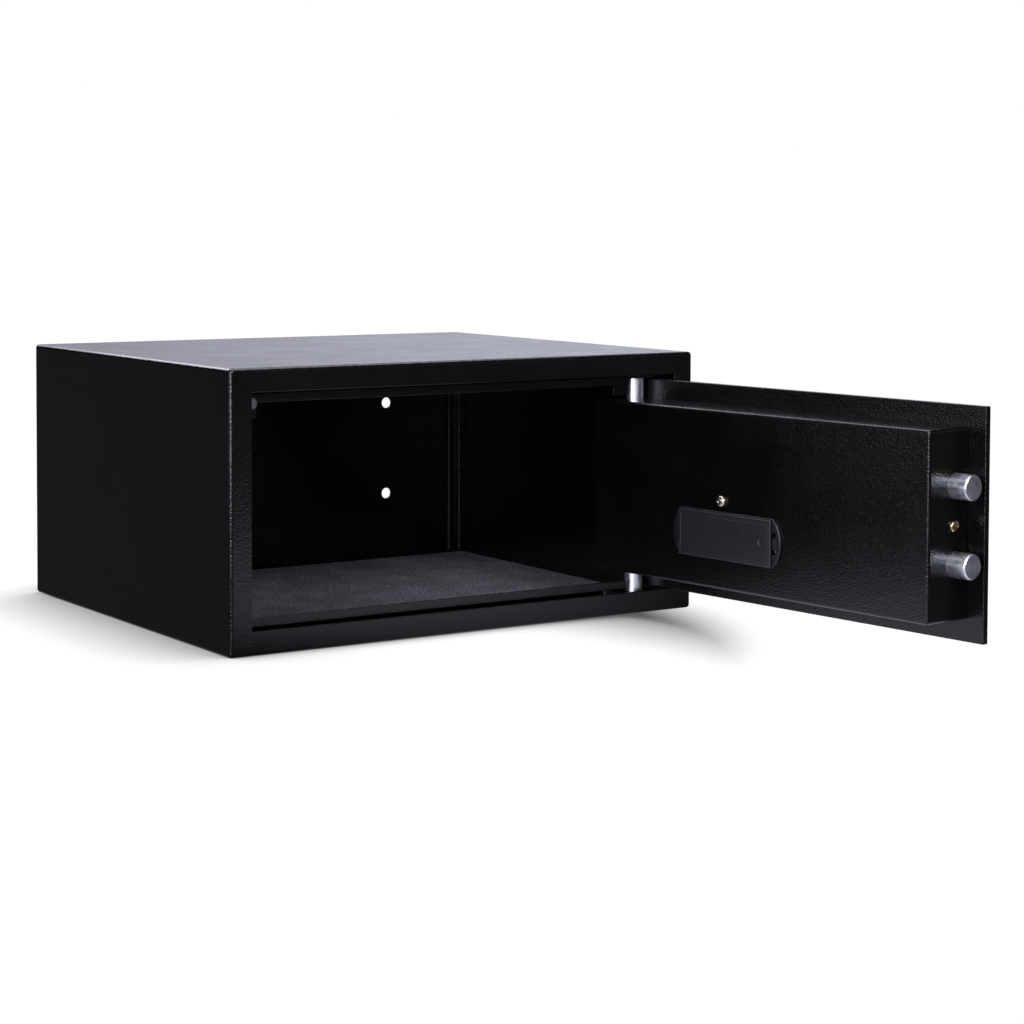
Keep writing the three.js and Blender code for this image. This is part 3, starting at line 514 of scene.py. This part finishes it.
# ---- door shell ----------------------------------------------------------------------------------
plate_low, plate_high = door_box("door_plate")
cover_low, cover_high = door_box("inner_cover")
COVER_SHEET = 1.5 * MM
LOCK_BORE = 9.8 * MM     # radii of the bores in the door, each a little over what passes through
BOLT_BORE = 9.75 * MM
PIN_BORE = 8 * MM
SCREW_BORE = 2.4 * MM


def on_door(name, points, faces):
    return make(name, from_door(points), faces)


def slab(low, high, r, edge, steps=6, edge_steps=4):
    """Rings of a plate between two corners: flat front and back with edges rounded by radius edge."""
    w, h = high[0] - low[0], high[2] - low[2]
    profile = [(edge - a, b) for a, b in arc(0, low[1] + edge, edge, 270, 360, edge_steps)]
    profile += [(edge - a, b) for a, b in arc(0, high[1] - edge, edge, 0, 90, edge_steps)]
    return carried(w, h, r, profile, ((low[0] + high[0]) / 2, (low[2] + high[2]) / 2), steps)


def cylinder_cutter(r, a, b, axis, place, sides=48):
    return on_door("cutter", *skin(lay(turned([(r, a), (r, b)], sides), axis, place)))


def box_cutter(low, high, r=0.3 * MM):
    return on_door("cutter", *skin(slab(np.array(low), np.array(high), r, 0.05 * MM, 4, 1)))


def door_plate():
    """Laser-cut plate, its edges softened by the coat, with the bore for the lock."""
    piece = on_door("door_plate_piece", *skin(slab(plate_low, plate_high, 1.0 * MM, 0.8 * MM)))
    lock = middle(door_box("lock_housing"))
    cut(piece, cylinder_cutter(LOCK_BORE, -30 * MM, 30 * MM, "y", (lock[0], 0, lock[2])))
    dress(piece, COAT, "door", "black_powder_coat", "door_plate")


def inner_cover():
    """A folded pan: the section starts on the inside, goes out round its open rim, up the outer wall, over a
    2.2 mm fold and across the face. It is cut where the bolts, pins, screws and battery bay pass."""
    low, high = cover_low, cover_high
    fold, corner, lip = 2.2 * MM, 0.4 * MM, 0.2 * MM
    half_l, half_h = 55.8 * MM, 16.9 * MM  # the opening for the battery bay
    w, h = high[0] - low[0], high[2] - low[2]
    inside = high[1] - COVER_SHEET
    section = [(COVER_SHEET + corner, inside), (COVER_SHEET, inside - corner), (COVER_SHEET, low[1] + lip),
               (COVER_SHEET - lip, low[1]), (lip, low[1]), (0, low[1] + lip)]
    section += [(fold - a, b) for a, b in arc(0, high[1] - fold, fold, 0, 90, 8)]
    centre = ((low[0] + high[0]) / 2, (low[2] + high[2]) / 2)
    piece = on_door("inner_cover_piece", *skin(carried(w, h, 2.4 * MM, section, centre, 8, 0.8 * MM)))
    cutters = []
    for bolt in ("bolt_lower", "bolt_upper"):
        at = middle(door_box(bolt))
        cutters.append(cylinder_cutter(BOLT_BORE, -4 * MM, 6 * MM, "x", (low[0], at[1], at[2])))
    side, face = middle(door_box("cover_side_screw")), middle(door_box("cover_face_screw"))
    cutters.append(cylinder_cutter(SCREW_BORE, -4 * MM, 6 * MM, "x", (low[0], side[1], side[2])))
    cutters.append(cylinder_cutter(SCREW_BORE, -4 * MM, 4 * MM, "y", (face[0], high[1], face[2])))
    cutters.append(cylinder_cutter(PIN_BORE, -8 * MM, h + 8 * MM, "z", (0, 0, low[2])))
    bay = middle(door_box("battery_holder"))
    cutters.append(box_cutter((bay[0] - half_l, high[1] - 5 * MM, bay[2] - half_h),
                              (bay[0] + half_l, high[1] + 5 * MM, bay[2] + half_h)))
    cut(piece, *cutters)
    dress(piece, COAT, "door", "black_powder_coat", "inner_cover")


def pan_head(r, tall, seat, shank, shank_r):
    """A pan head screw: shank, flat seat and a crown that bends down to a short straight side."""
    tip = seat - shank
    straight = 0.3 * tall
    profile = [(shank_r - 0.4 * MM, tip), (shank_r, tip + 0.5 * MM), (shank_r, seat), (r, seat)]
    profile += [(r, seat + straight)]
    profile += [(r * math.cos(a), seat + straight + (tall - straight) * math.sin(a))
                for a in np.linspace(0.35, 1.45, 8)]
    return profile


def screw(node, axis, seat, r, tall, shank, shank_r, material, slot):
    """A cross-recessed pan head screw with its head outwards along axis."""
    at = middle(door_box(node))
    place = {"y": (at[0], seat, at[2]), "-x": (seat, at[1], at[2])}[axis]
    body = turned(pan_head(r, tall, 0, shank, shank_r), 48)
    piece = on_door(node + "_piece", *skin(lay(body, axis, place)))
    half, deep, thin = 0.6 * r, 0.55 * tall, 0.13 * r
    for across, along in ((half, thin), (thin, half)):
        low, high = (-across, tall - deep, -along), (across, tall + 1 * MM, along)
        cross = skin(slab(np.array(low), np.array(high), 0.1 * MM, 0.02 * MM, 2, 1))
        cut(piece, on_door("cutter", lay(cross[0], axis, place), cross[1]))
    dress(piece, material, "door", slot, node)


door_plate()
inner_cover()
SEAT_GAP = 0.3 * MM
screw("cover_face_screw", "y", cover_high[1] + SEAT_GAP, 4.6 * MM, 3.1 * MM, 9 * MM, 1.5 * MM,
      NICKEL, "nickel")
screw("cover_side_screw", "-x", cover_low[0] - SEAT_GAP, 4.4 * MM, 2.5 * MM, 7.4 * MM, 2 * MM,
      YELLOW_ZINC, "yellow_zinc")


# ---- bolts ---------------------------------------------------------------------------------------
def round_bolt(node):
    """A centreless-ground bar, chromed, with a 1.2 mm chamfer round its flat end."""
    low, high = door_box(node)
    r, length = (high[2] - low[2]) / 2, high[0] - low[0]
    profile = [(r - 0.5 * MM, 0), (r, 0.5 * MM), (r, length - 1.1 * MM), (r - 0.15 * MM, length - 0.8 * MM)]
    profile += [(r - 0.9 * MM, length - 0.05 * MM), (r - 1.2 * MM, length)]
    at = middle((low, high))
    rings = lay(turned(profile, 72), "-x", (high[0], at[1], at[2]))
    piece = on_door(node + "_piece", *skin(rings))
    dress(piece, CHROME, "bolt_carriage", "chrome", node)


round_bolt("bolt_lower")
round_bolt("bolt_upper")


# ---- battery bay ---------------------------------------------------------------------------------
def bulged_rim(l, h, bulge, steps=14):
    """A rectangle l by h whose short ends swell out by bulge in one arc each, anticlockwise."""
    radius = (h * h / 4 + bulge * bulge) / (2 * bulge)
    half = math.asin(h / 2 / radius)
    angle = np.linspace(-half, half, steps + 1)
    right = np.stack([l / 2 + bulge - radius + radius * np.cos(angle), radius * np.sin(angle)], 1)
    return np.concatenate([right, -right])


def battery_rim():
    """The holder's flange: a plate with swollen ends and a soft edge, open in the middle, with two finger
    notches beside the cover's latch."""
    low, high = door_box("battery_holder")
    at = middle((low, high))
    top, bottom = high[1], high[1] - 2.0 * MM
    l, h, bulge, edge = 101 * MM, high[2] - low[2], 8.4 * MM, 0.8 * MM
    profile = [(0, bottom)] + [(edge - a, b) for a, b in arc(0, top - edge, edge, 0, 90, 4)]
    rings = []
    for inset, y in profile:
        flat = bulged_rim(l - 2 * inset, h - 2 * inset, bulge - inset * 0.2)
        rings.append(np.column_stack([flat[:, 0] + at[0], np.full(len(flat), y), flat[:, 1] + at[2]]))
    piece = on_door("battery_holder_rim", *skin(np.array(rings)))
    free = at[0] - l / 2
    half_l, half_h, notch_z = 49 * MM, 15.1 * MM, 6.6 * MM
    cutters = [box_cutter((at[0] - half_l, bottom - 1 * MM, at[2] - half_h),
                          (at[0] + half_l, top + 1 * MM, at[2] + half_h))]
    for side in (-1, 1):
        z = at[2] + side * notch_z
        cutters.append(box_cutter((free - 3.6 * MM, bottom - 1 * MM, z - 1.8 * MM),
                                  (free + 1.2 * MM, top + 1 * MM, z + 1.8 * MM), 0.6 * MM))
    cut(piece, *cutters)
    dress(piece, BAY_ABS_PAINTED_SHADE, "door", "black_plastic")
    latch = slab(np.array((free - 3.4 * MM, top - 0.7 * MM, at[2] - 3.0 * MM)),
                 np.array((free - 0.4 * MM, top + 0.5 * MM, at[2] + 3.0 * MM)), 1.2 * MM, 0.4 * MM, 5)
    dress(on_door("battery_latch_guide", *skin(latch)), BAY_ABS_PAINTED_SHADE, "door", "black_plastic")


def battery_tray():
    """The holder's tray behind the flange: a box with one open side, its section carried round its rim."""
    low, high = door_box("battery_holder")
    at = middle((low, high))
    top, wall, l, h = high[1] - 2.1 * MM, 1.5 * MM, 111 * MM, 33.2 * MM
    section = [(wall, low[1] + wall), (wall, top), (0, top)]
    section += [(0.3 * MM, low[1] + 0.3 * MM), (0.6 * MM, low[1])]
    rings = carried(l, h, 0.8 * MM, section, (at[0], at[2]), 4)
    piece = on_door("battery_holder_tray", *skin(rings))
    dress(piece, BAY_ABS_PAINTED_SHADE, "door", "black_plastic")
    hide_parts("battery_holder")


def battery_cover():
    """A flat snap-on lid with crisp edges, a hair line inside its border and a small raised finger mark,
    drawn lighter grey as a painted highlight.
    """
    low, high = door_box("battery_cover")
    w, h = high[0] - low[0], high[2] - low[2]
    edge, line, step = 0.85 * MM, 2.8 * MM, 0.35 * MM
    profile = [(0.2 * MM, low[1]), (0, low[1] + 0.2 * MM)]
    profile += [(edge - a, b) for a, b in arc(0, high[1] - step - edge, edge, 0, 90, 4)]
    face, groove = high[1] - step, 0.25 * MM
    profile += [(line, face), (line + groove, face - groove), (line + 0.65 * MM, face - groove),
                (line + 0.9 * MM, face)]
    at = middle((low, high))
    piece = on_door("battery_cover_piece", *skin(carried(w, h, 0.8 * MM, profile, (at[0], at[2]), 5)))
    dress(piece, BLACK_ABS, "battery_cover", "black_plastic", "battery_cover")
    arm, point, half = low[0] + 10.6 * MM, low[0] + 12.8 * MM, 2.4 * MM
    mark = [(arm, half), (point, 0), (arm, -half)]
    tube = [[(x + 0.5 * MM * math.cos(a), face + 0.32 * MM * math.sin(a), at[2] + z)
             for a in np.linspace(0, 2 * math.pi, 12, endpoint=False)] for x, z in mark]
    # Painted highlight: the finger mark is moulded with the lid in the same black plastic, but is drawn in
    # lighter grey so that it shows as lit.
    chevron = on_door("battery_cover_mark_painted_highlight", *skin(np.array(tube)))
    dress(chevron, GREY_ABS, "battery_cover", "black_plastic", angle=60)


battery_tray()
battery_rim()
battery_cover()


# ---- keypad on the door's front ------------------------------------------------------------------
pad_low, pad_high = door_box("keypad_housing")
KEY_LABELS = {"clear": "*", "enter": "#"}
KEY_NAMES = [n for n in NODES if n.startswith("key_")]


def keypad_housing():
    """A shallow moulded box with a deep soft edge, a raised panel line, wells for the keys, a window recess
    and a bore for the lock."""
    low, high = pad_low, pad_high
    w, h, soft = high[0] - low[0], high[2] - low[2], 4 * MM
    at = middle((low, high))
    front = low[1]
    profile = [(6 * MM, front + 7.5 * MM), (6 * MM, high[1]), (0.3 * MM, high[1]), (0, high[1] - 0.3 * MM)]
    profile += [(soft - soft * math.cos(a), front + soft - soft * math.sin(a))
                for a in np.linspace(0, 1.4, 9)]
    line = 0.35 * MM
    profile += [(soft + 1.2 * MM, front), (soft + 1.6 * MM, front + line), (soft + 2.1 * MM, front + line),
                (soft + 2.5 * MM, front)]
    rings = carried(w, h, 10 * MM, profile, (at[0], at[2]), 10, 3 * MM)
    piece = on_door("keypad_housing_piece", *skin(rings))
    cutters = []
    for key in KEY_NAMES:
        k_low, k_high = door_box(key)
        m = 0.4 * MM
        cutters.append(box_cutter((k_low[0] - m, front - 2 * MM, k_low[2] - m),
                                  (k_high[0] + m, front + 4.5 * MM, k_high[2] + m), 2 * MM))
    win_low, win_high = door_box("display_window")
    m = 0.3 * MM
    cutters.append(box_cutter((win_low[0] - m, front - 2 * MM, win_low[2] - m),
                              (win_high[0] + m, front + 1.6 * MM, win_high[2] + m), 0.5 * MM))
    lock = middle(door_box("lock_housing"))
    cutters.append(cylinder_cutter(LOCK_BORE, front - 2 * MM, 0, "y", (lock[0], 0, lock[2])))
    cut(piece, *cutters)
    dress(piece, BLACK_ABS, "door", "black_plastic", "keypad_housing")


def key_cap(node):
    """A moulded key with a crowned top, and its label standing 0.1 mm proud."""
    low, high = door_box(node)
    w, h = high[0] - low[0], high[2] - low[2]
    at = middle((low, high))
    front = low[1] + 0.12 * MM
    soft = 0.9 * MM
    profile = [(0.3 * MM, high[1]), (0, high[1] - 0.3 * MM)]
    profile += [(soft - soft * math.cos(a), front + 0.25 * MM + soft - soft * math.sin(a))
                for a in np.linspace(0, 1.3, 6)]
    profile += [(2.5 * MM, front + 0.08 * MM), (4 * MM, front)]
    piece = on_door(node + "_piece", *skin(carried(w, h, 2 * MM, profile, (at[0], at[2]), 6, 0.6 * MM)))
    dress(piece, KEY_RUBBER, node, "key_rubber", node)
    letters = bpy.data.curves.new("label", "FONT")
    name = node.split("_")[1]
    letters.body = KEY_LABELS.get(name, name)
    letters.size, letters.extrude = 8 * MM, 0.05 * MM
    letters.align_x, letters.align_y = "CENTER", "CENTER"
    text = bpy.data.objects.new("label", letters)
    mesh = bpy.data.meshes.new_from_object(text)
    bpy.data.objects.remove(text)
    flat = np.empty(len(mesh.vertices) * 3)
    mesh.vertices.foreach_get("co", flat)
    flat = flat.reshape(-1, 3)
    middle_x, middle_z = (flat[:, :2].max(0) + flat[:, :2].min(0)) / 2
    placed = np.stack([flat[:, 0] - middle_x + at[0], front - 0.04 * MM - flat[:, 2],
                       flat[:, 1] - middle_z + at[2]], 1)
    faces = [list(face.vertices) for face in mesh.polygons]
    label = on_door(node + "_label", placed, faces)
    dress(label, PRINT, node, "key_rubber")


def keyhole_cover():
    """A swivelling cover: a flat capsule with a soft edge, three finger ridges and a round rivet head at
    its pivot."""
    low, high = door_box("keyhole_cover")
    top = low[1] + 0.8 * MM
    rings = slab(np.array((low[0], top, low[2])), high, 7.5 * MM, 0.6 * MM, 12)
    piece = on_door("keyhole_cover_piece", *skin(rings))
    dress(piece, GREY_ABS, "keyhole_cover", "grey_plastic", "keyhole_cover")
    lock = middle(door_box("lock_housing"))
    half, pitch = 3.5 * MM, 1.6 * MM
    for k in range(3):
        x = lock[0] - 4 * MM + k * pitch
        start = np.array((x, low[1], lock[2] - half))
        end = np.array((x + 0.8 * MM, top + 0.3 * MM, lock[2] + half))
        rings = slab(start, end, 0.35 * MM, 0.3 * MM, 3)
        ridge = on_door(f"keyhole_cover_ridge_{k + 1}", *skin(rings))
        dress(ridge, GREY_ABS, "keyhole_cover", "grey_plastic")
    head = pan_head(2.6 * MM, 0.75 * MM, 0, 1 * MM, 1 * MM)
    pivot = np.array(joint("keyhole_cover_swing")["pos_m"])
    pivot = (pivot - AXIS) @ OPEN
    rings = lay(turned(head, 32), "-y", (pivot[0], top + 0.02 * MM, pivot[2]))
    rivet = on_door("keyhole_cover_rivet", *skin(rings))
    dress(rivet, NICKEL, "keyhole_cover", "nickel")


keypad_housing()
for key in KEY_NAMES:
    key_cap(key)
keyhole_cover()
refined("display_window", ACRYLIC, "door", "display_glass", 0.3 * MM)
for turned_node, material, body, slot in (("lock_housing", NICKEL, "door", "nickel"),
                                          ("lock_plug", BRASS, "lock_plug", "brass")):
    refined(turned_node, material, body, slot, 0.25 * MM)


# ---- pieces inside the door keep their shape -------------------------------------------------------
KEPT = {
    ZINC: ("hinge_bracket_lower", "hinge_bracket_upper", "cover_post", "bolt_guide", "bolt_carriage",
           "gear_motor"),
    ACETAL: ("hinge_bush_lower", "hinge_bush_upper", "drive_pinion"),
    NICKEL: ("lock_nut", "battery_contact_free", "battery_contact_hinge"),
    SLEEVE: ("battery_upper_free", "battery_upper_hinge", "battery_lower_free", "battery_lower_hinge"),
    BOARD: ("control_board",),
    RIBBON: ("keypad_ribbon",),
    WIRE: ("battery_lead", "motor_lead"),
}
for material, names in KEPT.items():
    for name in names:
        NODES[name].data.materials.clear()
        NODES[name].data.materials.append(material)


# ---- stage, light and camera -----------------------------------------------------------------------
def studio_floor():
    """A white floor that runs out of sight. The camera sees it white except in the contact shadow;
    the coat mirrors it as a floor lit near the safe's front and dim to its left and rear."""
    half = 30.0
    corners = [(-half, -half, 0), (half, -half, 0), (half, half, 0), (-half, half, 0)]
    floor = make("studio_floor", corners, [[0, 1, 2, 3]])
    material = bpy.data.materials.new("white_paper_floor")
    material.use_nodes = True
    tree = material.node_tree
    tree.nodes.clear()
    place = add(tree, "ShaderNodeTexCoord").outputs["Object"]
    centre = add(tree, "ShaderNodeVectorMath", {"operation": "DISTANCE"}, {0: place, 1: (0.03, -0.45, 0)})
    level = add(tree, "ShaderNodeMapRange", {"interpolation_type": "SMOOTHSTEP"}, {
        "Value": centre.outputs["Value"], "From Min": 0.1, "From Max": 0.36, "To Min": 1.0, "To Max": 0.07})
    near = add(tree, "ShaderNodeAmbientOcclusion", {"samples": 16}, {"Distance": 0.13})
    soft = add(tree, "ShaderNodeMapRange", {}, {
        "Value": near.outputs["AO"], "From Min": 0.3, "From Max": 0.9, "To Min": 0.1, "To Max": 1.02})
    corner = add(tree, "ShaderNodeVectorMath", {"operation": "DISTANCE"}, {0: place, 1: (-0.12, -0.12, 0)})
    far = add(tree, "ShaderNodeMapRange", {"interpolation_type": "SMOOTHSTEP"}, {
        "Value": corner.outputs["Value"], "From Min": 0.27, "From Max": 0.37, "To Min": 0.0, "To Max": 1.02})
    shade = add(tree, "ShaderNodeMath", {"operation": "MAXIMUM"}, {0: soft.outputs[0], 1: far.outputs[0]})
    seen = add(tree, "ShaderNodeEmission", {}, {"Color": (1, 1, 1, 1), "Strength": shade.outputs[0]})
    mirrored = add(tree, "ShaderNodeEmission", {}, {
        "Color": (0.86, 0.84, 1.0, 1), "Strength": level.outputs[0]})
    path = add(tree, "ShaderNodeLightPath")
    mix = add(tree, "ShaderNodeMixShader", {}, {0: path.outputs["Is Camera Ray"], 1: mirrored.outputs[0],
                                               2: seen.outputs[0]})
    add(tree, "ShaderNodeOutputMaterial", {}, {"Surface": mix.outputs[0]})
    floor.data.materials.append(material)


def card(tree, way, towards, start, full, dark, bright):
    """Brightness that rises smoothly from dark to bright as a direction turns towards the card's own."""
    turn = add(tree, "ShaderNodeVectorMath", {"operation": "DOT_PRODUCT"}, {0: way, 1: towards})
    return add(tree, "ShaderNodeMapRange", {"interpolation_type": "SMOOTHSTEP"}, {
        "Value": turn.outputs["Value"], "From Min": start, "From Max": full,
        "To Min": dark, "To Max": bright}).outputs[0]


def studio_world():
    """A bright wall at the right rear for the top to mirror, a card at the left front for the folds, a dim
    one at the right front for the lip and bolt ends, and plain white where the camera looks past the safe."""
    world = bpy.data.worlds.new("studio")
    bpy.context.scene.world = world
    world.use_nodes = True
    tree = world.node_tree
    tree.nodes.clear()
    way = add(tree, "ShaderNodeTexCoord").outputs["Generated"]
    wall = card(tree, way, (0.72, 0.69, 0), 0.8, 1.0, 0.02, 1.15)
    left = card(tree, way, (-0.8, -0.6, 0), 0.65, 0.97, 0.0, 0.9)
    right = card(tree, way, (0.74, -0.67, 0), 0.8, 0.98, 0.0, 0.2)
    sides = add(tree, "ShaderNodeMath", {"operation": "ADD"}, {0: left, 1: right})
    both = add(tree, "ShaderNodeMath", {"operation": "ADD"}, {0: wall, 1: sides.outputs[0]})
    tint = ramp(tree, both.outputs[0], [(0.0, "#ffe0d8"), (0.3, "#eceeff")])
    room = add(tree, "ShaderNodeBackground", {}, {"Color": tint, "Strength": both.outputs[0]})
    white = add(tree, "ShaderNodeBackground", {}, {"Color": (1, 1, 1, 1), "Strength": 1.0})
    path = add(tree, "ShaderNodeLightPath")
    mix = add(tree, "ShaderNodeMixShader", {}, {0: path.outputs["Is Camera Ray"], 1: room.outputs[0],
                                               2: white.outputs[0]})
    add(tree, "ShaderNodeOutputWorld", {}, {"Surface": mix.outputs[0]})


def soft_box(name, place, target, width, height, power):
    """An area light at place that faces target."""
    light = bpy.data.lights.new(name, "AREA")
    light.shape, light.size, light.size_y, light.energy = "RECTANGLE", width, height, power
    light.color = (0.93, 0.9, 1.0)
    lamp = bpy.data.objects.new(name, light)
    lamp.rotation_mode = "QUATERNION"
    lamp.rotation_quaternion = (Vector(target) - Vector(place)).to_track_quat("-Z", "Y")
    lamp.location = place
    bpy.context.scene.collection.objects.link(lamp)


def camera():
    """Looks down on the safe from its front left with a long lens."""
    place, yaw, pitch, roll = (-1.0187, -1.7656, 0.3348), -33.653, 2.842, 0.236
    lens = bpy.data.cameras.new("camera")
    lens.sensor_width, lens.lens, lens.shift_y = 36, 84.06, -0.18
    lens.clip_start, lens.clip_end = 0.01, 100
    holder = bpy.data.objects.new("camera", lens)
    turn = (Matrix.Rotation(math.radians(yaw), 4, "Z") @ Matrix.Rotation(math.radians(90 - pitch), 4, "X")
            @ Matrix.Rotation(math.radians(roll), 4, "Z"))
    holder.matrix_world = Matrix.Translation(place) @ turn
    bpy.context.scene.collection.objects.link(holder)
    bpy.context.scene.camera = holder


studio_floor()
studio_world()
soft_box("overhead_soft_box", (0.1, 0.2, 2.2), (0, 0, 0), 2.4, 2.4, 60)
soft_box("rear_strip", (-0.1, 1.6, 1.3), (0.2, -0.4, 0.1), 1.2, 0.9, 16)
soft_box("left_soft_box", (-2.1, 0.35, 0.35), (0.1, -0.3, 0.1), 1.1, 0.5, 3)
soft_box("front_left_soft_box", (-1.85, -1.25, 0.6), (0, -0.1, 0.12), 1.3, 1.2, 42)
soft_box("front_soft_box", (-0.25, -2.0, 1.25), (-0.05, 0.0, 0.05), 0.7, 0.7, 28)
camera()
bpy.context.scene.view_settings.view_transform = "Standard"
